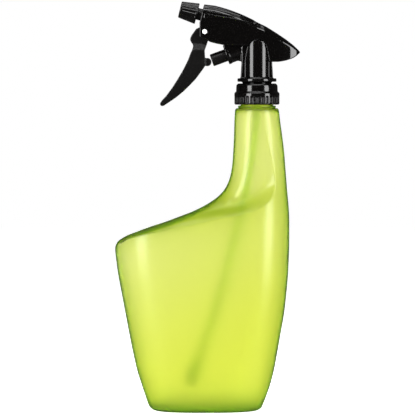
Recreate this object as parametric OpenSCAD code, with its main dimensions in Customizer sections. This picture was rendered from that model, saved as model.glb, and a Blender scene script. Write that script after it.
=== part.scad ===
/* [Bottle] */
// Wall thickness of the blown bottle
wall = 1.2; // [1.0:0.1:1.6]
// Half depth of the body at its fullest
half_depth = 36; // [33:1:38]
// Height of the bottle up to its shoulder
shoulder_z = 235; // [235:1:235]
// Distance of the neck axis from the middle of the object
neck_x = 38.5; // [38.5:0.5:38.5]
// Outer radius of the neck finish
finish_r = 12.6; // [12.6:0.1:12.7]
// Bore radius of the neck finish
finish_bore = 10.8; // [10.6:0.1:11.0]
// Pitch of the neck thread
neck_pitch = 4.2; // [4.0:0.1:4.4]

/* [Collar] */
// Outer radius of the slotted skirt
collar_r = 17.6; // [17.2:0.1:18]
// Number of slots round the skirt
collar_slots = 28; // [20:1:30]
// Outer radius of the smooth upper part
collar_top_r = 16.2; // [16:0.1:16.6]

/* [Pump head] */
// Tilt of the nozzle above level
nozzle_tilt = 14; // [14:1:14]
// Tilt of the pump cylinder above level
pump_tilt = 20; // [20:1:20]
// Bore radius of the pump cylinder
pump_bore = 6; // [5.8:0.1:6.0]
// Outer radius of the pump cylinder
pump_r = 7.2; // [7.1:0.1:7.3]
// Radius of the trigger pin
pin_r = 1.8; // [1.7:0.05:1.8]

/* [Nozzle] */
// Radius of the cap at its rear edge
cap_rear_r = 8.2; // [8:0.1:8.3]
// Radius of the cap at its front face
cap_front_r = 6.45; // [6.2:0.05:6.6]
// Number of grip flutes round the cap
cap_flutes = 18; // [12:1:24]
// Pitch of the nozzle thread
nozzle_pitch = 2.5; // [2.4:0.1:2.6]

/* [Dip tube] */
// Outer radius of the dip tube
tube_r = 2.5; // [2.4:0.1:2.5]
// Bore radius of the dip tube
tube_bore = 1.7; // [1.5:0.1:1.8]

/* [Hidden] */
$fn = 64;

// Nozzle axis: starts at the middle of the head's front face
noz = [-4.6, 307.6];
// Pump axis: starts at the middle of the cylinder's mouth
pmp = [17.7, 277.4];
// Trigger pivot
piv = [-2.2, 294.5];

module at_nozzle() { translate([noz[0], 0, noz[1]]) rotate([0, nozzle_tilt - 90, 0]) children(); }
module at_pump() { translate([pmp[0], 0, pmp[1]]) rotate([0, 90 - pump_tilt, 0]) children(); }
module at_neck(z) { translate([neck_x, 0, z]) children(); }
// Plate in the X-Z plane, w thick, middle on Y = 0
module side_plate(pts, w) { rotate([90, 0, 0]) linear_extrude(w, center = true) polygon(pts); }
module ring(ro, ri, h) { difference() { cylinder(r = ro, h = h); translate([0, 0, -1]) cylinder(r = ri, h = h + 2); } }

// Smooth reading of a table of [t, value] pairs
function seg(t, tab, i = 0) = (i >= len(tab) - 2 || t < tab[i + 1][0]) ? i : seg(t, tab, i + 1);
function slope(tab, i) = i == 0 ? (tab[1][1] - tab[0][1]) / (tab[1][0] - tab[0][0])
    : i == len(tab) - 1 ? (tab[i][1] - tab[i - 1][1]) / (tab[i][0] - tab[i - 1][0])
    : (tab[i + 1][1] - tab[i - 1][1]) / (tab[i + 1][0] - tab[i - 1][0]);
function herm(p, q, a, b, w, u) = p * (1 + 2 * u) * (1 - u) * (1 - u) + a * w * u * (1 - u) * (1 - u)
    + q * u * u * (3 - 2 * u) + b * w * u * u * (u - 1);
function lut(t, tab) = t <= tab[0][0] ? tab[0][1] : t >= tab[len(tab) - 1][0] ? tab[len(tab) - 1][1]
    : let (i = seg(t, tab), w = tab[i + 1][0] - tab[i][0])
      herm(tab[i][1], tab[i + 1][1], slope(tab, i), slope(tab, i + 1), w, (t - tab[i][0]) / w);
function clamp(v, a, b) = min(b, max(a, v));

// ---- bottle outline: [height, x] ----
left_edge = [[0, -42], [0.6, -43.4], [2, -45], [4.5, -46.4], [9, -48], [18, -51], [30, -54.8], [45, -58.2],
    [60, -61.2], [75, -64], [90, -66.8], [105, -69.6], [115, -71], [121, -71.7], [125, -72], [127.4, -71.8],
    [129.4, -71], [131.4, -69.6], [133.4, -66.6], [135.4, -63], [137.7, -57], [140, -51], [142.4, -44.3],
    [144.7, -37.2], [147, -30.6], [149.4, -24.4], [151.7, -18.4], [154, -12.6], [156.4, -7.5], [158.7, -3],
    [161, 1], [163.4, 4.6], [166.5, 8.6], [171.2, 12.9], [176, 15.6], [181, 17.5], [190, 19.2], [200, 20],
    [212, 20.6], [225, 21], [235, 21.5]];
right_edge = [[0, 39.6], [0.6, 41], [2, 42.4], [4.5, 43.6], [9, 45.4], [18, 48.6], [30, 51.8], [45, 54.6],
    [60, 57.2], [75, 59.8], [90, 61.5], [105, 62.8], [118, 63.4], [128, 63.7], [150, 63.7], [160, 63.1],
    [171, 62.1], [181, 61.3], [190, 60.6], [200, 59.8], [212, 58.4], [225, 56.6], [235, 55.5]];
// Edge of the thick sail above the left corner
sail_edge = [[126, -72], [128.5, -71.4], [131.4, -67.5], [135.3, -52.5], [140, -34.6], [147.8, -8.9], [155.6, 11.4],
    [161, 24], [164, 34.8], [169, 42.6], [173.6, 47], [180.6, 49.2], [187, 48.9], [210, 46.5], [234, 44.2]];
// Half depth against height, as a part of half_depth
depth_tab = [[0, 0.82], [0.6, 0.86], [2, 0.9], [4.5, 0.93], [9, 0.95], [20, 0.965], [60, 0.99], [105, 1], [135, 0.97],
    [155, 0.87], [170, 0.73], [185, 0.6], [200, 0.53], [215, 0.49], [235, 0.4722]];
// Crown radius of the roof and neck
roof_tab = [[120, 40], [128, 46], [133, 66], [138, 76], [145, 60], [152, 44], [160, 30], [168, 21], [176, 17.6], [190, 17], [235, 17]];
// Distance in from the edges over which the sides round off
right_w = [[0, 38], [110, 42], [140, 38], [170, 24], [190, 19], [235, 17]];
left_w = [[0, 36], [115, 42], [126, 30], [134, 16], [150, 12], [180, 8], [235, 6]];

function edge(d, b, w, n) = d <= 0 ? 0 : d >= w ? b : b * pow(1 - pow(1 - d / w, n), 1 / n);
// Distance from a point to the outline's left edge, and the height of the nearest spot
function seg_d(x, z, i) = let (a = left_edge[i], b = left_edge[i + 1], dz = b[0] - a[0], dx = b[1] - a[1],
    u = clamp(((z - a[0]) * dz + (x - a[1]) * dx) / (dz * dz + dx * dx), 0, 1))
    [norm([z - a[0] - u * dz, x - a[1] - u * dx]), a[0] + u * dz];
function nearest(x, z, i = 12, best = [999, 0]) = i > len(left_edge) - 2 ? best
    : let (s = seg_d(x, z, i)) nearest(x, z, i + 1, s[0] < best[0] ? s : best);
function bot_n(z) = lut(z, [[0, 2.5], [150, 2.3], [190, 2], [235, 2]]);
function half(x, z) = let (b = half_depth * lut(z, depth_tab),
    xs = z < 126 ? lut(z, left_edge) : lut(z, sail_edge),
    hs = edge(x - xs, b, lut(z, left_w), bot_n(z)),
    nr = z < 127 ? [0, 0] : nearest(x, z), rr = lut(nr[1], roof_tab),
    hn = z < 127 ? 0 : min(b, edge(nr[0], rr, rr, 2)),
    hr = edge(lut(z, right_edge) - x, b, lut(z, right_w), bot_n(z)))
    min(hr, max(hs, hn));

n = 22;
m = 2 * (n + 1);
// Points across a ring: the first few span from the left edge to the sail's edge
n1 = 7;
function knot(z, a, b) = max(a + 0.06 * (b - a), z < 126 ? a : lut(z, sail_edge));
function across(z, a, b, i) = let (k = knot(z, a, b)) i <= n1 ? a + (k - a) * (1 - cos(90 * i / n1))
    : k + (b - k) * (1 - cos(180 * (i - n1) / (n - n1))) / 2;
function loop_of(p, z) = concat([for (i = [0:n]) [p[i][0], -p[i][1], z]], [for (i = [n:-1:0]) [p[i][0], p[i][1], z]]);
function outer_ring(z) = let (a = lut(z, left_edge), b = lut(z, right_edge))
    loop_of([for (i = [0:n]) let (x = across(z, a, b, i)) [x, max(0.4, half(x, z))]], z);
function lift(z) = clamp((z - 100) / 20, 0, 1) * wall;
function inner_ring(z) = let (zz = z + lift(z), a = lut(zz, left_edge) + wall, b = lut(z, right_edge) - wall)
    loop_of([for (i = [0:n]) let (x = across(zz, a, b, i)) [x, max(0.5, half(x, min(zz, 234)) - wall)]], z);
function round_ring(r, z) = loop_of([for (i = [0:n]) [neck_x - r * cos(180 * i / n), max(0.4, r * sin(180 * i / n))]], z);

outer_z = [0, 0.6, 2, 4.5, 9, 18, 30, 45, 60, 75, 90, 105, 115, 121, 125, 127.4, 129.4, 131.4, 133.4, 135.4, 137.7, 140,
    142.4, 144.7, 147, 149.4, 151.7, 154, 156.4, 158.7, 161, 163.4, 166.5, 171.2, 176, 181, 190, 200, 212, 223, 231];
inner_z = [229, 221, 211, 200, 190, 181, 175, 170, 165.3, 162.2, 159.8, 157.5, 155.2, 152.8, 150.5, 148.2, 145.8, 143.5,
    141.2, 138.8, 136.5, 134.2, 132.2, 130.2, 128, 125, 121, 115, 105, 90, 75, 60, 45, 30, 18, 9, 4.5, 2.4, 1.4];

module bottle_shell() {
    rings = concat([for (z = outer_z) outer_ring(z)],
        [round_ring(16.6, 233.4), round_ring(15.8, 234.6), round_ring(14.9, 235), round_ring(12.1, 235), round_ring(12.1, 240),
         round_ring(11.3, 240), round_ring(11.3, 233.7), round_ring(14.6, 233.6), round_ring(15.6, 232.4)],
        [for (z = inner_z) inner_ring(z)]);
    k = len(rings);
    pts = [for (r = rings) each r];
    polyhedron(pts, concat(
        [[for (i = [0:m - 1]) i]],
        [for (j = [0:k - 2], i = [0:m - 1]) let (p = j * m + i, q = j * m + (i + 1) % m) each [[p, p + m, q + m], [p, q + m, q]]],
        [[for (i = [m - 1:-1:0]) (k - 1) * m + i]]), convexity = 10);
}

// Helical ridge: root radius r0, crest radius r1 (inside the root on an inner thread)
module helix(r0, r1, z0, pitch, turns, w0, w1, per = 24) {
    k = floor(turns * per);
    total = turns * 360;
    function crest(a) = r0 + (r1 - r0) * (0.3 + 0.7 * clamp(min(a, total - a) / 40, 0, 1));
    pts = [for (j = [0:k]) let (a = total * j / k, z = z0 + pitch * a / 360, c = crest(a))
        each [[r0 * cos(a), r0 * sin(a), z - w0 / 2], [c * cos(a), c * sin(a), z - w1 / 2],
              [c * cos(a), c * sin(a), z + w1 / 2], [r0 * cos(a), r0 * sin(a), z + w0 / 2]]];
    side = [for (j = [0:k - 1], i = [0:3]) let (p = j * 4 + i, q = j * 4 + (i + 1) % 4) each [[p, q + 4, q], [p, p + 4, q + 4]]];
    f = concat([[0, 1, 2, 3]], side, [[k * 4 + 3, k * 4 + 2, k * 4 + 1, k * 4]]);
    polyhedron(pts, r1 > r0 ? [for (t = f) [for (i = [len(t) - 1:-1:0]) t[i]]] : f, convexity = 6);
}

module bottle() {
    color([0.78, 0.88, 0.2, 0.8]) {
        bottle_shell();
        at_neck(0) {
            rotate_extrude() polygon([[finish_bore, 234.4], [14.7, 234.4], [14.7, 236.6], [14.3, 237], [finish_r, 237],
                [finish_r, 249.6], [12.2, 250], [finish_bore, 250]]);
            helix(12.3, 13.7, 240.4, neck_pitch, 1.5, 2.0, 1.0);
        }
    }
}

module collar() {
    color([0.05, 0.05, 0.05]) at_neck(0) {
        difference() {
            rotate_extrude() polygon([[14.1, 237.8], [16.9, 237.8], [collar_r, 238.5], [collar_r, 246.6], [16.9, 247.6],
                [collar_top_r, 247.8], [collar_top_r, 250], [15.9, 250.3], [collar_top_r, 250.6], [16, 253], [14.6, 254.3],
                [11.65, 254.3], [11.65, 252.5], [14.1, 252.5]]);
            for (i = [0:collar_slots - 1]) rotate([0, 0, i * 360 / collar_slots])
                translate([16.4, -0.95, 238.9]) cube([3, 1.9, 5.4]);
        }
        helix(14.4, 13.0, 238.9 + 0.1, neck_pitch, 1.5, 2.0, 1.0);
    }
}

module collar_gasket() { color([0.85, 0.85, 0.82]) at_neck(250) ring(12.9, 9.6, 1.1); }

// Arched front of the standpipe, seen from the side, g larger all round
bullet_edge = [[258, 9.35], [265, 9.1], [271, 8.8], [275, 8.3], [279, 7.6], [282, 6.9], [284.3, 6.1], [286, 5.1], [287.2, 3.8],
    [287.9, 2.2], [288.2, 0.7]];
module bullet(g) {
    polygon(concat([[-9.35 - g, 255]], [for (e = bullet_edge) [-e[1] - g, e[0] + (e[0] > 280 ? g : 0)]],
        [for (i = [len(bullet_edge) - 1:-1:0]) let (e = bullet_edge[i]) [e[1] + g, e[0] + (e[0] > 280 ? g : 0)]], [[9.35 + g, 255]]));
}

module pump_body() {
    color([0.03, 0.03, 0.03]) difference() {
        union() {
            at_neck(0) {
                // plug that hangs in the neck, lower flange, throat and upper flange
                rotate_extrude() polygon([[0, 243], [5.4, 243], [5.4, 251.1], [13.2, 251.1], [13.2, 252.1], [11.3, 252.1], [11.3, 255.6],
                    [15, 255.6], [15.2, 255.8], [15.2, 258], [14.9, 258.3], [12.4, 258.3], [11.8, 258.9], [0, 258.9]]);
                // flat wings of the column
                rotate([90, 0, 0]) linear_extrude(15, center = true)
                    polygon([[-12.8, 258], [12.5, 258], [11.7, 272], [11.5, 284], [-11.6, 284], [-11.9, 272]]);
                // round standpipe with its arched top
                intersection() {
                    translate([0, 0, 258]) cylinder(r = 11.8, h = 32);
                    rotate([90, 0, 0]) linear_extrude(30, center = true) bullet(0);
                }
                translate([0, 0, 280]) cylinder(r = 4, h = 16.2);
                translate([0, 0, 296]) cylinder(r1 = 4, r2 = 2.6, h = 2.6);
            }
            // pump cylinder with its end lip
            at_pump() { translate([0, 0, -3.4]) cylinder(r = pump_r, h = 25.4); translate([0, 0, -3.4]) cylinder(r = 7.6, h = 2.4); }
            // body of the cylinder housing, with its small moulded tab
            side_plate([[12.3, 284.4], [12.6, 281.4], [14, 279.6], [18.5, 273.4], [19.3, 272], [20.4, 271.8], [21, 272.9], [23.5, 271.9],
                [26, 271.5], [30, 271.4], [30, 290], [13, 290]], 13.2);
            // barrel to the nozzle
            at_nozzle() { translate([0, 0, -43]) cylinder(r = 3.4, h = 14); translate([0, 0, -30]) cylinder(r = 5.2, h = 28.4);
                translate([0, 0, -3.8]) cylinder(r = 6.4, h = 1.3); }
            // cheeks that carry the trigger pin
            for (s = [-1, 1]) translate([0, s * 7.2, 0])
                side_plate([[-4.6, 298], [-4.4, 300.4], [-2.4, 300.6], [-2.4, 303], [4, 303], [24, 298], [25.4, 297], [25.4, 286], [12, 285.6], [1, 288.2],
                    [-2.6, 289.6], [-4.4, 291.2]], 1.8);
            // web between barrel and cylinder
            side_plate([[9, 303], [30, 298], [30, 284], [18, 283], [9.5, 289]], 3);
        }
        // standpipe bore, open below
        at_neck(0) { translate([0, 0, 242]) cylinder(r = 3.9, h = 14); translate([0, 0, 255.9]) cylinder(r = 3.1, h = 4.6);
            translate([0, 0, 260]) cylinder(r = 1.8, h = 37); }
        // cylinder bore and its port
        at_pump() { translate([0, 0, -4]) cylinder(r = pump_bore, h = 21.5); cylinder(r = 1.3, h = 22); }
        // nozzle passage and valve chamber
        at_nozzle() { translate([0, 0, -43.5]) cylinder(r = 1.2, h = 40); translate([0, 0, -12]) cylinder(r = 3.4, h = 13); }
        // pin hole
        translate([piv[0], 0, piv[1]]) rotate([90, 0, 0]) cylinder(r = pin_r, h = 30, center = true);
        // room for the trigger's hub
        translate([piv[0], 0, piv[1]]) rotate([90, 0, 0]) cylinder(r = 4.4, h = 12.4, center = true);
    }
}

// ---- shroud: [x, value] tables ----
shroud_top = [[-8, 316.6], [-1.8, 315.6], [6, 314.7], [11.4, 313.3], [16.9, 311.6], [20.8, 310.2], [25.5, 308.4], [29.4, 306.7],
    [32.5, 305.2], [35.6, 303.6], [38, 302.2], [41.1, 300.6], [45, 298.8], [49.6, 296], [55.1, 292.5], [61.3, 288.3], [66.8, 284],
    [70, 281], [71.4, 279.6], [72, 278.7]];
shroud_low = [[-8, 290.2], [-5, 289.7], [-1, 288.2], [0.6, 287], [6, 285.5], [12, 284.3], [20, 283.8], [44, 283.2], [45.6, 271.4], [50.4, 271],
    [56.7, 271.1], [62.9, 272.5], [66.8, 274.1], [69.1, 275.6], [71, 277.3], [72, 278.2]];
shroud_w = [[-8, 9.6], [0, 9.8], [10, 9.9], [45, 10], [52, 9.5], [58, 8.4], [64, 6.8], [68, 5.2], [70.5, 3.6], [72, 1.6]];
shroud_r = [[-8, 7], [20, 7.6], [38, 8], [45, 7], [60, 4.8], [68, 3.2], [72, 0.3]];
shroud_x = [-8, -5, -1, 2, 6, 11.4, 16.9, 20.8, 25.5, 29.4, 32.5, 35.6, 38, 41.1, 44, 45.6, 49.6, 55.1, 58.5, 61.3, 64.2, 66.8, 69.1, 70.8, 72];
// Straight reading between two entries of a table
function lin(t, tab) = t <= tab[0][0] ? tab[0][1] : t >= tab[len(tab) - 1][0] ? tab[len(tab) - 1][1] : lookup(t, tab);
function shroud_ring(x, g) = let (w = lin(x, shroud_w) - g, t = lin(x, shroud_top) - g, b = g > 0 ? 262 : lin(x, shroud_low),
    r = max(0.2, min(lin(x, shroud_r) - g, w, t - b - 0.2)))
    let (p = concat([[-w, b]], [for (a = [0:15:90]) [-(w - r) - r * cos(a), t - r + r * sin(a)]],
        [for (a = [90:-15:0]) [(w - r) + r * cos(a), t - r + r * sin(a)]], [[w, b]]))
    [for (q = p) [x, q[0], q[1]]];
module loft(rings) {
    c = len(rings[0]);
    k = len(rings);
    polyhedron([for (r = rings) each r], concat([[for (i = [c - 1:-1:0]) i]],
        [for (j = [0:k - 2], i = [0:c - 1]) let (p = j * c + i, q = j * c + (i + 1) % c) each [[p, q, q + c], [p, q + c, p + c]]],
        [[for (i = [0:c - 1]) (k - 1) * c + i]]), convexity = 10);
}
module shroud() {
    color([0.03, 0.03, 0.03]) difference() {
        loft([for (x = shroud_x) shroud_ring(x, 0)]);
        // front face, which leans back with the nozzle
        side_plate([[-2.3, 317], [-6.25, 301.2], [-6.25, 280], [-20, 280], [-20, 320], [-1.6, 320]], 40);
        // hollow, open below, with walls at both ends
        intersection() {
            loft([for (x = shroud_x) if (x < 69) shroud_ring(x, 1.5)]);
            side_plate([[-0.15, 320], [-0.9, 317], [-4.85, 301.2], [-4.85, 250], [100, 250], [100, 320]], 40);
        }
        // nozzle hole, trigger's way in and pin holes
        at_nozzle() translate([0, 0, -6]) cylinder(r = 5.3, h = 8);
        side_plate([[-12, 300.8], [-2.4, 300.8], [-2.4, 284], [-12, 284]], 16.6);
        translate([piv[0], 0, piv[1]]) rotate([90, 0, 0]) cylinder(r = pin_r, h = 30, center = true);
        // window round the standpipe's arch
        translate([neck_x, 0, 0]) rotate([90, 0, 0]) linear_extrude(40, center = true) bullet(0.35);
        // shallow recess behind the front plate
        for (s = [-1, 1]) translate([0, s * 10, 0])
            side_plate([[-3.4, 303.2], [-1.6, 304.3], [1, 306.4], [3.4, 308], [0.4, 308.6], [-2.2, 309]], 1.6);
    }
}

// outline of the trigger lever
lever = [[-6.9, 297.6], [-8.9, 296.6], [-10.6, 294.2], [-12.2, 292], [-13.3, 289.8], [-13.5, 288], [-12.7, 286.3], [-11.4, 284.6],
    [-11.2, 282.8], [-12, 280.2], [-13.4, 277.2], [-15.1, 272.6], [-17.4, 267.9], [-19.8, 263.3], [-23.6, 257], [-27.6, 250.8],
    [-32.2, 244.6], [-35.4, 241.2], [-36.8, 239.2], [-36.9, 237.6], [-35.8, 236.6], [-34, 236.9], [-25.2, 242.8],
    [-22.9, 244.6], [-19, 247.8], [-15.8, 250.9], [-12.7, 254], [-9.6, 257.2], [-7.3, 260.2], [-5, 263.3], [-2.8, 266.4], [-1.6, 268.4],
    [-1.9, 275], [-2.2, 280], [-0.6, 284.4], [0.6, 288], [1.6, 294.5], [0.4, 297.6], [-2.2, 298.4], [-5, 298.2]];
module trigger() {
    color([0.1, 0.1, 0.11]) difference() {
        union() {
            // finger lever: side outline, tapered in front view
            intersection() {
                side_plate(lever, 24);
                rotate([90, 0, 90]) linear_extrude(120, center = true)
                    polygon([[-4, 236], [4, 236], [5.4, 242], [7.6, 256], [8.2, 268], [8, 280], [5.8, 285.5], [5.8, 300],
                        [-5.8, 300], [-5.8, 285.5], [-8, 280], [-8.2, 268], [-7.6, 256], [-5.4, 242]]);
            }
            // nose that pushes the piston
            translate([-0.1, 0, 270.9]) rotate([90, 0, 0]) cylinder(r = 3.2, h = 11, center = true);
        }
        // hollow back
        side_plate([[-10.6, 280.6], [-12, 277.4], [-13.2, 273.4], [-15.4, 268.7], [-17.8, 264.1], [-20.8, 259.2], [-20.4, 257.2], [-10, 254],
            [0, 262], [-0.6, 266], [-4, 268], [-4.4, 275], [-4.6, 280.6]], 12.4);
        translate([piv[0], 0, piv[1]]) rotate([90, 0, 0]) cylinder(r = pin_r + 0.06, h = 30, center = true);
    }
}
module trigger_pin() { color([0.95, 0.95, 0.93]) translate([piv[0], 0, piv[1]]) rotate([90, 0, 0]) cylinder(r = pin_r, h = 20, center = true); }

module piston() {
    color([0.08, 0.08, 0.08]) at_pump() rotate_extrude() polygon([[0, -15.4], [4.4, -15.4], [4.85, -14.9], [4.85, 1.6], [3.6, 1.6],
        [3.6, 7], [2.9, 7], [2.9, -6], [0, -6]]);
}
module piston_seal() {
    color([0.9, 0.9, 0.86]) at_pump() rotate_extrude() polygon([[3.6, 1.6], [5.2, 1.6], [5.95, 2], [5.95, 2.6], [5.1, 3.2], [5.1, 5.6],
        [5.95, 6.4], [5.95, 7.2], [5.4, 7.4], [4.6, 6.4], [3.6, 6.4]]);
}
// Coil spring along its own axis, ends closed by touching the seats
module coil(r, wire, len, turns, per = 14, sides = 6) {
    k = floor(turns * per);
    pts = [for (j = [0:k]) let (a = 360 * turns * j / k, z = wire + (len - 2 * wire) * j / k)
        for (i = [0:sides - 1]) let (b = 360 * i / sides) [(r + wire * cos(b)) * cos(a), (r + wire * cos(b)) * sin(a), z + wire * sin(b)]];
    polyhedron(pts, concat([[for (i = [sides - 1:-1:0]) i]],
        [for (j = [0:k - 1], i = [0:sides - 1]) let (p = j * sides + i, q = j * sides + (i + 1) % sides) each [[p, q, q + sides], [p, q + sides, p + sides]]],
        [[for (i = [0:sides - 1]) k * sides + i]]), convexity = 8);
}
module return_spring() { color([0.75, 0.75, 0.75]) at_pump() translate([0, 0, -5.9]) coil(2.2, 0.35, 23.3, 9); }

module inlet_seat() {
    color([0.9, 0.9, 0.88]) at_neck(0) rotate_extrude() polygon([[2.5, 241], [3.5, 241], [4.6, 242], [4.6, 243], [3.9, 243], [3.9, 255.8],
        [2.8, 255.8], [1.6, 254.2], [1.6, 252.4], [2.5, 252.4]]);
}
module inlet_ball() { color([0.8, 0.8, 0.82]) at_neck(256.15) sphere(r = 2.4); }

module outlet_valve() {
    color([0.9, 0.9, 0.88]) at_nozzle() rotate_extrude() polygon([[0, -11.95], [2.7, -11.95], [2.9, -11.7], [2.9, -11], [1.2, -10.9], [1.2, -9.4], [0, -9.4]]);
}
module outlet_spring() { color([0.75, 0.75, 0.75]) at_nozzle() translate([0, 0, -10.85]) coil(2, 0.2, 4.8, 4); }

module spigot() {
    color([0.04, 0.04, 0.04]) at_nozzle() {
        difference() {
            rotate_extrude() polygon([[0, -6], [3.4, -6], [3.4, -1.6], [4.65, -1.6], [4.65, 6.8], [3.9, 7.6], [3.9, 13.2], [3.6, 13.5], [0, 13.5]]);
            translate([0, 0, -7]) cylinder(r = 1.4, h = 16);
            translate([0, 0, 7]) cylinder(r = 2.4, h = 8);
        }
        helix(3.7, 4.45, 9, nozzle_pitch, 1.2, 1.0, 0.5);
    }
}
module spinner() {
    color([0.9, 0.9, 0.88]) at_nozzle() difference() {
        union() { translate([0, 0, 8]) cylinder(r = 2.4, h = 6.3); translate([0, 0, 13.5]) cylinder(r = 2.9, h = 0.8); }
        for (a = [0, 180]) rotate([0, 0, a]) translate([1.7, -0.5, 7]) cube([2, 1, 9]);
        translate([0, 0, 13.9]) cylinder(r = 1.1, h = 1);
    }
}
module nozzle_seal() {
    color([0.15, 0.15, 0.15]) at_nozzle() translate([0, 0, 5.2]) rotate_extrude() polygon([[4.7, -0.3], [4.9, -0.5], [5.4, -0.5], [5.6, -0.3], [5.6, 0.3],
        [5.4, 0.5], [4.9, 0.5], [4.7, 0.3]]);
}
module nozzle_cap() {
    color([0.05, 0.05, 0.05]) at_nozzle() difference() {
        union() {
            difference() {
                rotate_extrude() polygon([[0, 3.5], [cap_rear_r - 0.3, 3.5], [cap_rear_r, 3.8], [cap_front_r, 17], [cap_front_r - 0.4, 17.4], [0, 17.4]]);
                rotate_extrude() polygon([[0, 3], [4.95, 3], [4.95, 4.65], [5.65, 4.65], [5.65, 5.75], [4.95, 5.75], [4.95, 7.2], [4.8, 7.4], [4.8, 14.6], [0, 14.6]]);
                for (i = [0:cap_flutes - 1]) rotate([0, 0, (i + 0.5) * 360 / cap_flutes])
                    translate([cap_rear_r + 0.15, 0, 4.6]) rotate([0, -7.4, 0]) cylinder(r = 0.7, h = 11.6, $fn = 16);
            }
            helix(5.05, 4.25, 7.75 + 0.0, nozzle_pitch, 1.2, 1.0, 0.5);
        }
        translate([0, 0, 14]) cylinder(r = 0.6, h = 5);
        translate([0, 0, 16.2]) cylinder(r1 = 0.6, r2 = 3, h = 1.3);
    }
}

// Dip tube: hand-set points down the middle of the tube
tube_pts = [[38.5, 252.2], [38.5, 240], [37.9, 225], [36.2, 208], [33.4, 190], [29.8, 170], [25.9, 152], [21.4, 134],
    [16.4, 113], [11.6, 95], [7, 80], [1.8, 64], [-3, 50], [-7.6, 37], [-9.2, 32.4]];
function tan_at(i) = let (a = tube_pts[max(0, i - 1)], b = tube_pts[min(len(tube_pts) - 1, i + 1)], d = b - a) d / norm(d);
module swept(r0, r1) {
    s = 12;
    k = len(tube_pts);
    function rings(r) = [for (i = [0:k - 1]) let (t = tan_at(i), c = tube_pts[i])
        for (j = [0:s - 1]) let (a = 360 * j / s) [c[0] - t[1] * r * cos(a), r * sin(a), c[1] + t[0] * r * cos(a)]];
    h = k * s;
    polyhedron(concat(rings(r0), rings(r1)), concat(
        [for (i = [0:k - 2], j = [0:s - 1]) let (p = i * s + j, q = i * s + (j + 1) % s) each [[p, q, q + s], [p, q + s, p + s]]],
        [for (i = [0:k - 2], j = [0:s - 1]) let (p = h + i * s + j, q = h + i * s + (j + 1) % s) each [[p, q + s, q], [p, p + s, q + s]]],
        [for (j = [0:s - 1]) let (p = j, q = (j + 1) % s) each [[p, h + q, q], [p, h + p, h + q]]],
        [for (j = [0:s - 1]) let (p = (k - 1) * s + j, q = (k - 1) * s + (j + 1) % s) each [[p, q, h + q], [p, h + q, h + p]]]), convexity = 6);
}
module dip_tube() { color([0.85, 0.9, 0.8, 0.6]) swept(tube_r - 0.05, tube_bore); }
module strainer() {
    t = tan_at(len(tube_pts) - 1);
    e = tube_pts[len(tube_pts) - 1];
    color([0.25, 0.3, 0.1]) translate([e[0], 0, e[1]]) rotate([0, atan2(t[0], t[1]), 0]) difference() {
        rotate_extrude() polygon([[0, -5], [3.6, -5], [4.1, -4], [4.1, 12], [3.4, 13.4], [0, 13.4]]);
        translate([0, 0, -6]) cylinder(r = 2.55, h = 6.05);
        translate([0, 0, 0]) cylinder(r = 1.5, h = 11);
        for (a = [0:60:300], z = [1.5:3:7.5]) rotate([0, 0, a]) translate([1, -0.6, z]) cube([4, 1.2, 1.6]);
    }
}

bottle();
collar();
collar_gasket();
pump_body();
shroud();
trigger();
trigger_pin();
piston();
piston_seal();
return_spring();
inlet_seat();
inlet_ball();
outlet_valve();
outlet_spring();
spigot();
spinner();
nozzle_seal();
nozzle_cap();
dip_tube();
strainer();
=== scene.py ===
import math

import bmesh
import bpy
import numpy as np
from mathutils import Matrix, Vector


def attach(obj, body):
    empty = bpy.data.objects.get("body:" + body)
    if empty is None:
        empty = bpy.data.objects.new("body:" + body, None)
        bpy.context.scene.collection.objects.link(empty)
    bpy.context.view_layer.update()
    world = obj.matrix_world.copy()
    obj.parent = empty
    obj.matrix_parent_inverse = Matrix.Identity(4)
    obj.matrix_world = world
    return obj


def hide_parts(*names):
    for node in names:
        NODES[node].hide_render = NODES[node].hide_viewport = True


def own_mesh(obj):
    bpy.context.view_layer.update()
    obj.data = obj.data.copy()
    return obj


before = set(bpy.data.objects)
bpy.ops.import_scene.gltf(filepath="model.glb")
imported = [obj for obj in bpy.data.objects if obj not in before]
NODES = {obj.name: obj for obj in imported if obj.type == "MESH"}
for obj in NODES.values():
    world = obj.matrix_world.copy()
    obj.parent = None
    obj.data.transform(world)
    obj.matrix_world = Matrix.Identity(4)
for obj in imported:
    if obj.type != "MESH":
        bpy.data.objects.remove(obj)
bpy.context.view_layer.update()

# ---------------------------------------------------------------- camera, stage, light
scene = bpy.context.scene
scene.view_settings.view_transform = "Standard"
scene.view_settings.look = "None"
scene.view_settings.exposure = 0.0
scene.view_settings.gamma = 1.0

CAM = Vector((0.0, -2.4, 0.257))
AIM = Vector((0.0, 0.0, 0.1576))
cam_data = bpy.data.cameras.new("camera")
cam_data.sensor_width = 36.0
cam_data.lens = 36.0 * (AIM - CAM).length / 0.3237
cam_data.clip_start = 0.05
cam_data.clip_end = 50.0
cam = bpy.data.objects.new("camera", cam_data)
scene.collection.objects.link(cam)
cam.location = CAM
cam.rotation_euler = (AIM - CAM).to_track_quat("-Z", "Y").to_euler()
scene.camera = cam


def new_object(name, verts, faces, smooth=True):
    mesh = bpy.data.meshes.new(name)
    mesh.from_pydata([tuple(v) for v in verts], [], [tuple(f) for f in faces])
    mesh.update()
    if smooth:
        mesh.polygons.foreach_set("use_smooth", [True] * len(mesh.polygons))
    ob = bpy.data.objects.new(name, mesh)
    scene.collection.objects.link(ob)
    return ob


def area(name, loc, target, size_x, size_y, power, colour=(1, 1, 1)):
    data = bpy.data.lights.new(name, "AREA")
    data.shape = "RECTANGLE"
    data.size = size_x
    data.size_y = size_y
    data.energy = power
    data.color = colour
    ob = bpy.data.objects.new(name, data)
    scene.collection.objects.link(ob)
    ob.location = loc
    ob.rotation_euler = (Vector(target) - Vector(loc)).to_track_quat("-Z", "Y").to_euler()
    return ob


def at_angle(deg, dist, z):
    a = math.radians(deg)
    return (math.sin(a) * dist, -math.cos(a) * dist, z)


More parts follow.
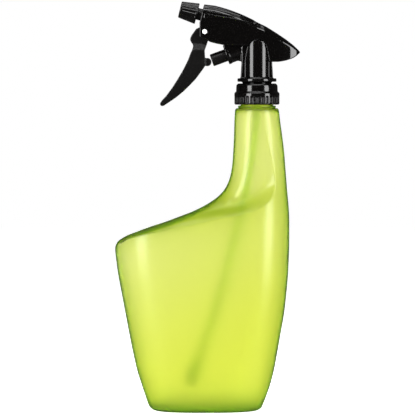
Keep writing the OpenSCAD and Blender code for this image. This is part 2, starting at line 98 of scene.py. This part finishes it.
area("softbox_left", at_angle(-42, 1.5, 0.26), (0.02, 0, 0.22), 0.62, 1.5, 26)
area("softbox_right", at_angle(55, 1.5, 0.26), (0.02, 0, 0.22), 0.62, 1.5, 26)
area("top_light", (0.0, 0.15, 1.7), (0, 0, 0.15), 1.2, 1.0, 9)

area("strip_high", (-0.1, -1.05, 1.72), (0.0, 0.0, 0.18), 1.5, 0.3, 12)

# bright surround behind the object, dark one at its sides and in front
world = bpy.data.worlds.new("world")
scene.world = world
world.use_nodes = True
wn = world.node_tree
wn.nodes.clear()
out = wn.nodes.new("ShaderNodeOutputWorld")
tex = wn.nodes.new("ShaderNodeTexCoord")
sep = wn.nodes.new("ShaderNodeSeparateXYZ")
ramp = wn.nodes.new("ShaderNodeValToRGB")
el = ramp.color_ramp.elements
el[0].position, el[0].color = 0.30, (0.015, 0.015, 0.015, 1)
el[1].position, el[1].color = 0.97, (0.035, 0.035, 0.035, 1)
for pos, v in ((0.5, 0.03), (0.7, 0.04), (0.88, 0.04)):
    e = el.new(pos)
    e.color = (v, v, v, 1)
half01 = wn.nodes.new("ShaderNodeMapRange")
half01.inputs["From Min"].default_value = -1
half01.inputs["From Max"].default_value = 1
bg = wn.nodes.new("ShaderNodeBackground")
bgc = wn.nodes.new("ShaderNodeBackground")
mix = wn.nodes.new("ShaderNodeMixShader")
mix_through = wn.nodes.new("ShaderNodeMixShader")
bgt = wn.nodes.new("ShaderNodeBackground")
bgt.inputs["Color"].default_value = (1, 1, 1, 1)
bgt.inputs["Strength"].default_value = 1.12
path = wn.nodes.new("ShaderNodeLightPath")
wn.links.new(tex.outputs["Generated"], sep.inputs[0])
wn.links.new(sep.outputs["Y"], half01.inputs["Value"])
wn.links.new(half01.outputs["Result"], ramp.inputs["Fac"])
wn.links.new(ramp.outputs["Color"], bg.inputs["Color"])
bg.inputs["Strength"].default_value = 1.0
bgc.inputs["Strength"].default_value = 1.0
bgc.inputs["Color"].default_value = (1, 1, 1, 1)
wn.links.new(path.outputs["Is Camera Ray"], mix.inputs["Fac"])
wn.links.new(path.outputs["Is Transmission Ray"], mix_through.inputs["Fac"])
wn.links.new(bg.outputs[0], mix_through.inputs[1])
wn.links.new(bgt.outputs[0], mix_through.inputs[2])
wn.links.new(mix_through.outputs[0], mix.inputs[1])
wn.links.new(bgc.outputs[0], mix.inputs[2])
wn.links.new(mix.outputs[0], out.inputs[0])

# pale floor
floor = new_object("floor", [(-3, -3, 0), (3, -3, 0), (3, 3, 0), (-3, 3, 0)], [(0, 1, 2, 3)], smooth=False)
floor.location = (0, 0, -0.0002)
fm = bpy.data.materials.new("floor_white")
fm.use_nodes = True
fb = fm.node_tree.nodes["Principled BSDF"]
fb.inputs["Base Color"].default_value = (0.9, 0.9, 0.9, 1)
fb.inputs["Roughness"].default_value = 0.9
fb.inputs["Emission Color"].default_value = (1, 1, 1, 1)
fb.inputs["Emission Strength"].default_value = 0.93
# gloss sees the floor as a dim grey sweep, as black cards beside a product shot do
fpath = fm.node_tree.nodes.new("ShaderNodeLightPath")
fdim = fm.node_tree.nodes.new("ShaderNodeEmission")
fdim.inputs["Color"].default_value = (1, 1, 1, 1)
fdim.inputs["Strength"].default_value = 0.1
fmix = fm.node_tree.nodes.new("ShaderNodeMixShader")
fgl = fm.node_tree.nodes.new("ShaderNodeMath")
fgl.operation = "SUBTRACT"
fgl.use_clamp = True
fm.node_tree.links.new(fpath.outputs["Is Glossy Ray"], fgl.inputs[0])
fm.node_tree.links.new(fpath.outputs["Is Transmission Ray"], fgl.inputs[1])
fm.node_tree.links.new(fgl.outputs[0], fmix.inputs["Fac"])
fm.node_tree.links.new(fb.outputs[0], fmix.inputs[1])
fm.node_tree.links.new(fdim.outputs[0], fmix.inputs[2])
fm.node_tree.links.new(fmix.outputs[0], fm.node_tree.nodes["Material Output"].inputs["Surface"])
floor.data.materials.append(fm)


# ---------------------------------------------------------------- tables and curves
def lut(t, tab):
    tab = np.asarray(tab, float)
    x, y = tab[:, 0], tab[:, 1]
    s = np.empty(len(x))
    s[0] = (y[1] - y[0]) / (x[1] - x[0])
    s[-1] = (y[-1] - y[-2]) / (x[-1] - x[-2])
    s[1:-1] = (y[2:] - y[:-2]) / (x[2:] - x[:-2])
    t = np.clip(np.asarray(t, float), x[0], x[-1])
    i = np.clip(np.searchsorted(x, t, side="right") - 1, 0, len(x) - 2)
    w = x[i + 1] - x[i]
    u = (t - x[i]) / w
    return (y[i] * (1 + 2 * u) * (1 - u) ** 2 + s[i] * w * u * (1 - u) ** 2
            + y[i + 1] * u * u * (3 - 2 * u) + s[i + 1] * w * u * u * (u - 1))


def sstep(e0, e1, x):
    u = np.clip((x - e0) / (e1 - e0), 0, 1)
    return u * u * (3 - 2 * u)


# ---------------------------------------------------------------- bottle
WALL = 1.2
LEFT = [[0, -42], [0.6, -43.4], [2, -45], [4.5, -46.4], [9, -48], [18, -51], [30, -54.8], [45, -58.2],
        [60, -61.2], [75, -64], [90, -66.8], [105, -69.6], [115, -71], [121, -71.7], [125, -72], [127.4, -71.8],
        [129.4, -71], [131.4, -69.6], [133.4, -66.6], [135.4, -63], [137.7, -57], [140, -51], [142.4, -44.3],
        [144.7, -37.2], [147, -30.6], [149.4, -24.4], [151.7, -18.4], [154, -12.6], [156.4, -7.5], [158.7, -3],
        [161, 1], [163.4, 4.6], [166.5, 8.6], [171.2, 12.9], [176, 15.6], [181, 17.5], [190, 19.2], [200, 20],
        [212, 20.6], [225, 21], [235, 21.5]]
RIGHT = [[0, 39.6], [0.6, 41], [2, 42.4], [4.5, 43.6], [9, 45.4], [18, 48.6], [30, 51.8], [45, 54.6],
         [60, 57.2], [75, 59.8], [90, 61.5], [105, 62.8], [118, 63.4], [128, 63.7], [150, 63.7], [160, 63.1],
         [171, 62.1], [181, 61.3], [190, 60.6], [200, 59.8], [212, 58.4], [225, 56.6], [235, 55.5]]
RIDGE = [[130, -76], [133.4, -64], [140.8, -39], [149.5, -11.5], [153.5, 0], [155.8, 6.9], [158, 16], [160.8, 25.3],
         [165, 34.6], [170.2, 43.2], [174.5, 47.4], [179.5, 49.4], [187, 49.2], [210, 46.5], [235, 44.2]]
DEPTH = [[0, 0.82], [0.6, 0.86], [2, 0.9], [4.5, 0.93], [9, 0.95], [20, 0.965], [60, 0.99], [105, 1], [135, 0.97],
         [155, 0.87], [170, 0.73], [185, 0.6], [200, 0.53], [215, 0.49], [235, 0.4722]]
ROOF_W = [[126, 3.0], [133, 3.4], [140, 4.2], [148, 5.6], [155, 8], [160, 11], [166, 14.4], [172, 16.6], [180, 17], [235, 17]]
ROOF_B = [[126, 1], [148, 1], [153, 0.86], [159, 0.5], [165, 0.16], [171, 0.02], [176, 0], [235, 0]]
RIDGE_W = [[130, 2.2], [145, 2.6], [152, 3.4], [158, 4.6], [164, 6.4], [172, 9], [180, 11], [200, 12], [235, 9]]
RIGHT_W = [[0, 38], [110, 42], [140, 38], [170, 24], [190, 19], [235, 17]]
LEFT_W = [[0, 36], [115, 42], [128, 42], [150, 42], [235, 42]]
BODY_N = [[0, 2.5], [130, 2.4], [160, 2.15], [190, 2], [235, 2]]
NECK_X = 38.5

_zs = np.concatenate([np.linspace(126.2, 172, 260), np.linspace(172.4, 237, 120)])
_outline = np.stack([lut(_zs, LEFT), _zs], 1)


def outline_distance(x, z):
    """Distance from points to the left and top outline, and the height of the nearest spot."""
    p = np.stack([x.ravel(), z.ravel()], 1)
    a, b = _outline[:-1], _outline[1:]
    d = b - a
    dd = (d ** 2).sum(1)
    best = np.full(len(p), 1e9)
    zz = np.zeros(len(p))
    for s in range(0, len(p), 4000):
        q = p[s:s + 4000]
        u = np.clip(((q[:, None, :] - a[None]) * d[None]).sum(2) / dd[None], 0, 1)
        c = a[None] + u[..., None] * d[None]
        r = np.sqrt(((q[:, None, :] - c) ** 2).sum(2))
        k = r.argmin(1)
        rows = np.arange(len(q))
        best[s:s + 4000] = r[rows, k]
        zz[s:s + 4000] = c[rows, k, 1]
    return best.reshape(x.shape), zz.reshape(x.shape)


_ss = np.linspace(130, 235, 300)
_sail = np.stack([lut(_ss, RIDGE), _ss], 1)


def sail_distance(x, z):
    """Signed distance inside the sail's edge, and the height of the nearest spot on it."""
    p = np.stack([x.ravel(), z.ravel()], 1)
    a, b = _sail[:-1], _sail[1:]
    d = b - a
    dd = (d ** 2).sum(1)
    out_d = np.zeros(len(p))
    out_z = np.zeros(len(p))
    for s in range(0, len(p), 4000):
        q = p[s:s + 4000]
        u = np.clip(((q[:, None, :] - a[None]) * d[None]).sum(2) / dd[None], 0, 1)
        c = a[None] + u[..., None] * d[None]
        v = q[:, None, :] - c
        r = np.sqrt((v ** 2).sum(2))
        k = r.argmin(1)
        rows = np.arange(len(q))
        cr = d[k, 0] * v[rows, k, 1] - d[k, 1] * v[rows, k, 0]
        out_d[s:s + 4000] = r[rows, k] * np.where(cr <= 0, 1, -1)
        out_z[s:s + 4000] = c[rows, k, 1]
    return out_d.reshape(x.shape), out_z.reshape(x.shape)


def edge(d, b, w, n):
    u = np.clip(1 - d / w, 0, 1)
    return b * (1 - u ** n) ** (1 / n)


def half(x, z):
    """Half depth of the bottle's outside at a spot of its side view."""
    b = 36 * lut(z, DEPTH)
    n = lut(z, BODY_N)
    hr = edge(lut(z, RIGHT) - x, b, lut(z, RIGHT_W), n)
    left = np.where(z > 125, -72.0, lut(z, LEFT))
    hl = edge(x - left, b, lut(z, LEFT_W), n)
    d, dz = outline_distance(x, z)
    m = lut(dz, ROOF_B)
    hn = edge(d, b * m + 17 * (1 - m), lut(dz, ROOF_W), 2.0 + 0.5 * m)
    e, ez = sail_distance(x, z)
    w = lut(ez, RIDGE_W)
    rise = sstep(-w, w, e - 0.5 * w)
    hs = hn + (b - hn) * rise
    return np.minimum(np.minimum(np.maximum(hs, hn), hl), hr)


def bottle_rings():
    z_out = np.concatenate([[0, 0.15, 0.35, 0.6, 0.9, 1.3, 1.8, 2.4, 3.2, 4.2, 5.5, 7, 9, 11.5, 14], np.arange(17, 118, 2.5),
                            np.arange(118, 125, 0.8), np.arange(125, 172, 0.38), np.arange(172, 233.2, 1.1)])
    n = 96
    t = (1 - np.cos(np.linspace(0, math.pi, n + 1))) / 2
    t = 0.55 * t + 0.45 * np.linspace(0, 1, n + 1)
    t[1] = t[2] * 0.28
    t[-2] = 1 - (1 - t[-3]) * 0.28

    def ring(z, inner=0.0):
        lift = inner * np.clip((z - 100) / 20, 0, 1)
        a = float(lut(z + lift, LEFT)) + inner
        b = float(lut(z, RIGHT)) - inner
        x = a + (b - a) * t
        zz = np.full_like(x, min(z + lift, 234.5))
        h = half(x, zz) - inner
        if inner == 0:
            h[0] = h[-1] = 0.0
            h = np.maximum(h, 0)
        h = np.maximum(h, 0.02)
        return np.concatenate([np.stack([x, -h, np.full_like(x, z)], 1), np.stack([x[::-1], h[::-1], np.full_like(x, z)], 1)])

    def circle(r, z):
        x = NECK_X - r * np.cos(np.pi * np.linspace(0, 1, n + 1))
        h = np.maximum(r * np.sin(np.pi * np.linspace(0, 1, n + 1)), 0.02)
        return np.concatenate([np.stack([x, -h, np.full_like(x, z)], 1), np.stack([x[::-1], h[::-1], np.full_like(x, z)], 1)])

    rings = []
    base = ring(0.0)
    mid = np.array([-1.2, 0, 0])
    # pushed-up middle of the foot
    for s, z in ((0.02, 2.2), (0.5, 2.2), (0.76, 2.0), (0.82, 1.2), (0.86, 0.3), (0.89, 0.0), (0.95, 0.0)):
        r = (base - mid) * s + mid
        r[:, 2] = z
        rings.append(r)
    rings += [ring(z) for z in z_out]
    for r, z in ((16.95, 233.6), (16.7, 234.3), (16.2, 234.8), (15.4, 235.0), (14.4, 235.0), (14.4, 235.4), (14.7, 235.7),
                 (14.7, 236.7), (14.4, 237.0), (12.9, 237.0), (12.6, 237.3), (12.6, 249.6), (12.2, 250.0), (11.1, 250.0), (10.8, 249.7),
                 (10.8, 236.0), (11.2, 234.6), (14.6, 233.7), (15.4, 233.2), (15.75, 232.4)):
        rings.append(circle(r, z))
    z_in = [z for z in z_out[::-1] if 2.5 < z < 231.6]
    rings += [ring(z, WALL) for z in z_in]
    last = rings[-1]
    inner_base = ring(2.5, WALL)
    for s, z in ((0.985, 1.9), (0.95, 1.4), (0.88, 1.5), (0.82, 2.4), (0.76, 3.2), (0.5, 3.4), (0.02, 3.4)):
        r = (inner_base - mid) * s + mid
        r[:, 2] = z
        rings.append(r)
    return np.array(rings)


def ring_mesh(name, rings, caps=True):
    k, m, _ = rings.shape
    verts = rings.reshape(-1, 3) / 1000.0
    faces = []
    for j in range(k - 1):
        for i in range(m):
            i2 = (i + 1) % m
            faces.append((j * m + i, j * m + i2, (j + 1) * m + i2, (j + 1) * m + i))
    if caps:
        faces.append(tuple(range(m - 1, -1, -1)))
        faces.append(tuple((k - 1) * m + i for i in range(m)))
    return new_object(name, verts, faces)


shell_rings = bottle_rings()
bottle = ring_mesh("bottle_shell", shell_rings)


def laplacian(ob, rounds, factor=0.5, zmin=None, zmax=None):
    """Evens out a mesh without moving it as a whole."""
    me = ob.data
    n = len(me.vertices)
    co = np.empty(n * 3)
    me.vertices.foreach_get("co", co)
    co = co.reshape(-1, 3)
    ed = np.empty(len(me.edges) * 2, dtype=np.int64)
    me.edges.foreach_get("vertices", ed)
    ed = ed.reshape(-1, 2)
    deg = np.bincount(ed.ravel(), minlength=n).astype(float)
    mask = np.ones(n)
    if zmin is not None:
        mask *= sstep(zmin, zmin + 0.004, co[:, 2])
    if zmax is not None:
        mask *= 1 - sstep(zmax - 0.004, zmax, co[:, 2])
    for r in range(rounds):
        for f in (factor, -factor * 1.04):
            acc = np.zeros_like(co)
            for c in range(3):
                acc[:, c] = np.bincount(ed[:, 0], co[ed[:, 1], c], n) + np.bincount(ed[:, 1], co[ed[:, 0], c], n)
            co = co + (acc / deg[:, None] - co) * (f * mask)[:, None]
    me.vertices.foreach_set("co", co.ravel())
    me.update()


def refit(ob, rings):
    """Takes back the width that evening out cost, ring by ring."""
    k, m, _ = rings.shape
    co = np.empty(k * m * 3)
    ob.data.vertices.foreach_get("co", co)
    co = co.reshape(k, m, 3) * 1000.0
    for j in range(k):
        if 8 < rings[j, 0, 2] < 232:
            a0, b0 = rings[j, :, 0].min(), rings[j, :, 0].max()
            a1, b1 = co[j, :, 0].min(), co[j, :, 0].max()
            co[j, :, 0] = a0 + (co[j, :, 0] - a1) * (b0 - a0) / (b1 - a1)
    ob.data.vertices.foreach_set("co", (co / 1000.0).ravel())
    ob.data.update()


laplacian(bottle, 12, 0.5, 0.008, 0.232)
refit(bottle, shell_rings)
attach(bottle, "bottle")
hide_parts("bottle")

# ---------------------------------------------------------------- materials
def material(name):
    m = bpy.data.materials.new(name)
    m.use_nodes = True
    return m, m.node_tree, m.node_tree.nodes["Principled BSDF"]


def node(tree, kind, **values):
    nd = tree.nodes.new(kind)
    for k, v in values.items():
        if k in nd.inputs:
            nd.inputs[k].default_value = v
        else:
            setattr(nd, k, v)
    return nd


def coords(tree, scale=1.0):
    tc = node(tree, "ShaderNodeTexCoord")
    mp = node(tree, "ShaderNodeMapping")
    mp.inputs["Scale"].default_value = (scale, scale, scale) if not isinstance(scale, tuple) else scale
    tree.links.new(tc.outputs["Object"], mp.inputs["Vector"])
    return mp.outputs["Vector"]


def frosted_green():
    m, t, b = material("frosted_green")
    b.inputs["Base Color"].default_value = (0.925, 0.92, 0.68, 1)
    b.inputs["Transmission Weight"].default_value = 1.0
    b.inputs["IOR"].default_value = 1.2
    b.inputs["Roughness"].default_value = 0.3
    v = coords(t)
    fine = node(t, "ShaderNodeTexNoise", Scale=2600.0, Detail=3.0, Roughness=0.7)
    t.links.new(v, fine.inputs["Vector"])
    soft = node(t, "ShaderNodeTexNoise", Scale=60.0, Detail=2.0)
    t.links.new(v, soft.inputs["Vector"])
    rr = node(t, "ShaderNodeMapRange")
    rr.inputs["To Min"].default_value = 0.62
    rr.inputs["To Max"].default_value = 0.7
    t.links.new(soft.outputs["Fac"], rr.inputs["Value"])
    t.links.new(rr.outputs["Result"], b.inputs["Roughness"])
    bump = node(t, "ShaderNodeBump", Strength=0.35, Distance=0.00004)
    t.links.new(fine.outputs["Fac"], bump.inputs["Height"])
    t.links.new(bump.outputs["Normal"], b.inputs["Normal"])
    # the plastic's tint is deeper where the wall is seen on its edge: partly the longer path through the wall, partly
    # painted shade for the dark surroundings the rim sees; the last two stops turn lighter again, a painted highlight
    # for the top lamp on the roof's edge
    lw = node(t, "ShaderNodeLayerWeight", Blend=0.5)
    rim_tint_and_painted_light = node(t, "ShaderNodeValToRGB")
    e = rim_tint_and_painted_light.color_ramp.elements
    c0 = (0.935, 0.91, 0.72)
    stops = ((0.33, (1, 1, 1)), (0.47, (0.97, 0.985, 0.86)), (0.57, (0.88, 0.945, 0.62)), (0.66, (0.62, 0.8, 0.28)), (0.74, (0.34, 0.59, 0.09)),
             (0.85, (0.27, 0.5, 0.09)), (0.95, (0.5, 0.66, 0.3)), (1.0, (0.6, 0.74, 0.42)))
    for i, (pos, k) in enumerate(stops):
        el = e[i] if i < 2 else e.new(pos)
        el.position = pos
        el.color = (c0[0] * k[0], c0[1] * k[1], c0[2] * k[2], 1)
    t.links.new(lw.outputs["Facing"], rim_tint_and_painted_light.inputs["Fac"])
    # painted highlight: the colour is paled towards the upper left, standing in for the soft sheen the front lamps give
    # there, and kept deeper towards the lower right
    grad = node(t, "ShaderNodeTexCoord")
    gsep = node(t, "ShaderNodeSeparateXYZ")
    t.links.new(grad.outputs["Object"], gsep.inputs[0])
    gx = node(t, "ShaderNodeMath", operation="MULTIPLY_ADD")
    gx.inputs[1].default_value = -0.55
    t.links.new(gsep.outputs["X"], gx.inputs[0])
    t.links.new(gsep.outputs["Z"], gx.inputs[2])
    gr = node(t, "ShaderNodeMapRange", interpolation_type="SMOOTHSTEP")
    gr.inputs["From Min"].default_value = 0.02
    gr.inputs["From Max"].default_value = 0.19
    t.links.new(gx.outputs[0], gr.inputs["Value"])
    mul = node(t, "ShaderNodeMixRGB", blend_type="MULTIPLY")
    mul.inputs["Fac"].default_value = 1.0
    painted_sheen_gradient = node(t, "ShaderNodeMixRGB")
    painted_sheen_gradient.inputs["Color1"].default_value = (0.98, 0.975, 0.78, 1)
    painted_sheen_gradient.inputs["Color2"].default_value = (1.05, 1.035, 1.42, 1)
    t.links.new(gr.outputs["Result"], painted_sheen_gradient.inputs["Fac"])
    t.links.new(rim_tint_and_painted_light.outputs["Color"], mul.inputs["Color1"])
    t.links.new(painted_sheen_gradient.outputs["Color"], mul.inputs["Color2"])
    # darker green round the foot, over its bottom 10 mm
    heel = node(t, "ShaderNodeMapRange", interpolation_type="SMOOTHSTEP")
    heel.inputs["From Min"].default_value = 0.0
    heel.inputs["From Max"].default_value = 0.01
    t.links.new(gsep.outputs["Z"], heel.inputs["Value"])
    heel_tint = node(t, "ShaderNodeMixRGB")
    heel_tint.inputs["Color1"].default_value = (0.56, 0.75, 0.42, 1)
    heel_tint.inputs["Color2"].default_value = (1.0, 1.0, 1.0, 1)
    t.links.new(heel.outputs["Result"], heel_tint.inputs["Fac"])
    mul_heel = node(t, "ShaderNodeMixRGB", blend_type="MULTIPLY")
    mul_heel.inputs["Fac"].default_value = 1.0
    t.links.new(mul.outputs["Color"], mul_heel.inputs["Color1"])
    t.links.new(heel_tint.outputs["Color"], mul_heel.inputs["Color2"])
    t.links.new(mul_heel.outputs["Color"], b.inputs["Base Color"])
    b.inputs["Coat Weight"].default_value = 0.55
    b.inputs["Coat Roughness"].default_value = 0.23
    b.inputs["Coat IOR"].default_value = 1.5
    b.inputs["Coat Tint"].default_value = (0.97, 1.0, 0.88, 1)
    ab = node(t, "ShaderNodeVolumeAbsorption")
    ab.inputs["Color"].default_value = (0.76, 0.83, 0.0, 1)
    ab.inputs["Density"].default_value = 640.0
    t.links.new(ab.outputs[0], t.nodes["Material Output"].inputs["Volume"])
    return m


def plastic(name, colour, rough=(0.12, 0.2), grain=0.0, grain_scale=1500.0, spec=0.5, coat=0.0):
    m, t, b = material(name)
    v = coords(t)
    big = node(t, "ShaderNodeTexNoise", Scale=90.0, Detail=3.0, Roughness=0.6)
    t.links.new(v, big.inputs["Vector"])
    ramp = node(t, "ShaderNodeMapRange")
    ramp.inputs["To Min"].default_value = rough[0]
    ramp.inputs["To Max"].default_value = rough[1]
    t.links.new(big.outputs["Fac"], ramp.inputs["Value"])
    t.links.new(ramp.outputs["Result"], b.inputs["Roughness"])
    cr = node(t, "ShaderNodeMixRGB")
    cr.inputs["Color1"].default_value = (*[c * 0.85 for c in colour], 1)
    cr.inputs["Color2"].default_value = (*[min(1, c * 1.2) for c in colour], 1)
    t.links.new(big.outputs["Fac"], cr.inputs["Fac"])
    t.links.new(cr.outputs["Color"], b.inputs["Base Color"])
    b.inputs["Specular IOR Level"].default_value = spec
    b.inputs["Coat Weight"].default_value = coat
    if grain > 0:
        fine = node(t, "ShaderNodeTexNoise", Scale=grain_scale, Detail=4.0, Roughness=0.65)
        t.links.new(v, fine.inputs["Vector"])
        bump = node(t, "ShaderNodeBump", Strength=grain, Distance=0.00005)
        t.links.new(fine.outputs["Fac"], bump.inputs["Height"])
        t.links.new(bump.outputs["Normal"], b.inputs["Normal"])
    return m


M_GREEN = frosted_green()
M_GLOSS = plastic("black_gloss", (0.0018, 0.0016, 0.0015), (0.08, 0.14), grain=0.06, grain_scale=300.0)
M_SATIN = plastic("black_satin", (0.0022, 0.0019, 0.0017), (0.3, 0.4), grain=0.25, grain_scale=2200.0, spec=0.3)
M_WHITE = plastic("white_plastic", (0.86, 0.86, 0.83), (0.3, 0.4), grain=0.1)
M_TUBE = plastic("tube_plastic", (0.3, 0.42, 0.08), (0.25, 0.35), grain=0.1)
M_SEALW = plastic("seal_white", (0.8, 0.8, 0.75), (0.5, 0.6), grain=0.2)
M_SEALB = plastic("seal_black", (0.02, 0.02, 0.02), (0.5, 0.6), grain=0.2)
M_GREY = plastic("strainer_grey", (0.24, 0.34, 0.08), (0.4, 0.5), grain=0.2)
M_STEEL = plastic("spring_steel", (0.6, 0.6, 0.6), (0.2, 0.3), grain=0.1)
M_STEEL.node_tree.nodes["Principled BSDF"].inputs["Metallic"].default_value = 1.0


def paint(ob, m):
    ob.data.materials.clear()
    ob.data.materials.append(m)


paint(bottle, M_GREEN)
LOOK = {"collar": M_GLOSS, "pump_body": M_GLOSS, "shroud": M_GLOSS, "nozzle_cap": M_GLOSS, "trigger": M_SATIN, "trigger_pin": M_WHITE,
        "piston": M_SATIN, "piston_seal": M_SEALW, "return_spring": M_STEEL, "inlet_seat": M_WHITE, "inlet_ball": M_STEEL,
        "outlet_valve": M_WHITE, "outlet_spring": M_STEEL, "spigot": M_SATIN, "spinner": M_WHITE, "nozzle_seal": M_SEALB,
        "collar_gasket": M_SEALW, "dip_tube": M_TUBE, "strainer": M_GREY}
for name, m in LOOK.items():
    paint(NODES[name], m)

# ---------------------------------------------------------------- ribs of the head's deck
SHROUD_TOP = [[-8, 316.6], [-1.8, 315.6], [6, 314.7], [11.4, 313.3], [16.9, 311.6], [20.8, 310.2], [25.5, 308.4], [29.4, 306.7],
              [32.5, 305.2], [35.6, 303.6], [38, 302.2], [41.1, 300.6], [45, 298.8]]
SHROUD_W = [[-8, 9.6], [0, 9.8], [10, 9.9], [45, 10]]
SHROUD_R = [[-8, 7], [20, 7.6], [38, 8], [45, 7]]
DECK = [[-3, 308.6], [4.4, 307], [16.1, 305.2], [24, 303.6], [31, 301.9], [37, 300.6], [40, 300.1]]


def deck_ribs(name, sides=8):
    """Raised lines along both crowned edges of the head's top, closing up towards the rear."""
    bm = bmesh.new()
    xs = np.concatenate([np.linspace(-1.0, 36.5, 46), [37.4, 38.0]])
    for side in (-1, 1):
        for f, rad in ((0.0, 0.5), (0.3, 0.34), (0.55, 0.34), (0.76, 0.34), (0.92, 0.34)):
            path = []
            for x in xs:
                top, w, r = float(lut(x, SHROUD_TOP)), float(lut(x, SHROUD_W)), float(lut(x, SHROUD_R))
                low = float(lut(x, DECK))
                z = low + (top - low) * f
                up = max(0.0, z - (top - r)) / r
                out = math.sqrt(max(0.0, 1 - up * up))
                path.append((np.array([x, side * (w - r + r * out), z]), np.array([0, side * out, up])))
            prev = None
            for i, (c, nrm) in enumerate(path):
                a = path[max(0, i - 1)][0]
                b = path[min(len(path) - 1, i + 1)][0]
                t = (b - a) / np.linalg.norm(b - a)
                nn = nrm - t * nrm.dot(t)
                nn /= np.linalg.norm(nn)
                bb = np.cross(t, nn)
                k = rad * min(1.0, 0.35 + 0.65 * min(i, len(path) - 1 - i) / 3)
                ring = [bm.verts.new(tuple((c - nn * 0.08 + k * (nn * math.cos(u) * 0.9 + bb * math.sin(u))) / 1000.0))
                        for u in (2 * math.pi * j / sides for j in range(sides))]
                if prev:
                    for j in range(sides):
                        bm.faces.new((prev[j], prev[(j + 1) % sides], ring[(j + 1) % sides], ring[j]))
                else:
                    bm.faces.new(ring[::-1])
                prev = ring
            bm.faces.new(prev)
    bmesh.ops.recalc_face_normals(bm, faces=bm.faces[:])
    mesh = bpy.data.meshes.new(name)
    bm.to_mesh(mesh)
    bm.free()
    mesh.polygons.foreach_set("use_smooth", [True] * len(mesh.polygons))
    ob = bpy.data.objects.new(name, mesh)
    scene.collection.objects.link(ob)
    return ob


ribs = deck_ribs("shroud_ribs")
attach(ribs, "head")
paint(ribs, M_GLOSS)

# ---------------------------------------------------------------- coil springs, drawn in place of the CAD springs
def coil_spring(name, start, axis, r, wire, length, turns, sides=10, per=28):
    """A round-wire compression spring from start along axis, with its end turns closed up."""
    start, axis = np.array(start, float), np.array(axis, float)
    across = np.array([axis[2], 0.0, -axis[0]])
    third = np.cross(axis, across)
    k = int(turns * per)
    u = np.arange(k + 1) / per
    pitch = np.where((u < 0.9) | (u > turns - 0.9), 0.25, 1.0)
    rise = np.concatenate([[0], np.cumsum((pitch[1:] + pitch[:-1]) / 2)])
    z = wire + (length - 2 * wire) * rise / rise[-1]
    bm = bmesh.new()
    prev = None
    for j in range(k + 1):
        a = 2 * math.pi * u[j]
        radial = across * math.cos(a) + third * math.sin(a)
        c = start + axis * z[j] + radial * r
        ring = [bm.verts.new(tuple((c + wire * (radial * math.cos(b) + axis * math.sin(b))) / 1000.0))
                for b in (2 * math.pi * i / sides for i in range(sides))]
        if prev:
            for i in range(sides):
                bm.faces.new((prev[i], prev[(i + 1) % sides], ring[(i + 1) % sides], ring[i]))
        else:
            bm.faces.new(ring[::-1])
        prev = ring
    bm.faces.new(prev)
    bmesh.ops.recalc_face_normals(bm, faces=bm.faces[:])
    mesh = bpy.data.meshes.new(name)
    bm.to_mesh(mesh)
    bm.free()
    mesh.polygons.foreach_set("use_smooth", [True] * len(mesh.polygons))
    ob = bpy.data.objects.new(name, mesh)
    scene.collection.objects.link(ob)
    paint(ob, M_STEEL)
    return ob


PUMP_AXIS = (math.cos(math.radians(20)), 0.0, math.sin(math.radians(20)))
NOZZLE_AXIS = (-math.cos(math.radians(14)), 0.0, math.sin(math.radians(14)))
for name, node_name, base, axis, z0, r, wire, length, turns, joint, travel in (
        ("pump_spring", "return_spring", (17.7, 0, 277.4), PUMP_AXIS, -5.9, 2.2, 0.35, 23.3, 9, "piston_slide", 8.2),
        ("valve_spring", "outlet_spring", (-4.6, 0, 307.6), NOZZLE_AXIS, -10.85, 2.0, 0.2, 4.8, 4, "outlet_lift", 1.5)):
    spring = coil_spring(name, [b + a * z0 for a, b in zip(axis, base)], axis, r, wire, length, turns)
    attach(spring, "head")
    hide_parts(node_name)
    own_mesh(spring)

# moulded edges: the sharp corners of the black mouldings are rounded over
for name, voxel, rounds in (("shroud", 0.45, 4), ("pump_body", 0.42, 4), ("trigger", 0.42, 4), ("piston", 0.34, 3), ("collar", 0.36, 3),
                            ("nozzle_cap", 0.3, 3), ("spigot", 0.34, 3)):
    rm = NODES[name].modifiers.new("moulded", "REMESH")
    rm.mode = "VOXEL"
    rm.voxel_size = voxel / 1000.0
    rm.adaptivity = 0.0
    rm.use_smooth_shade = True
    sm = NODES[name].modifiers.new("soft_edges", "SMOOTH")
    sm.factor = 0.5
    sm.iterations = rounds
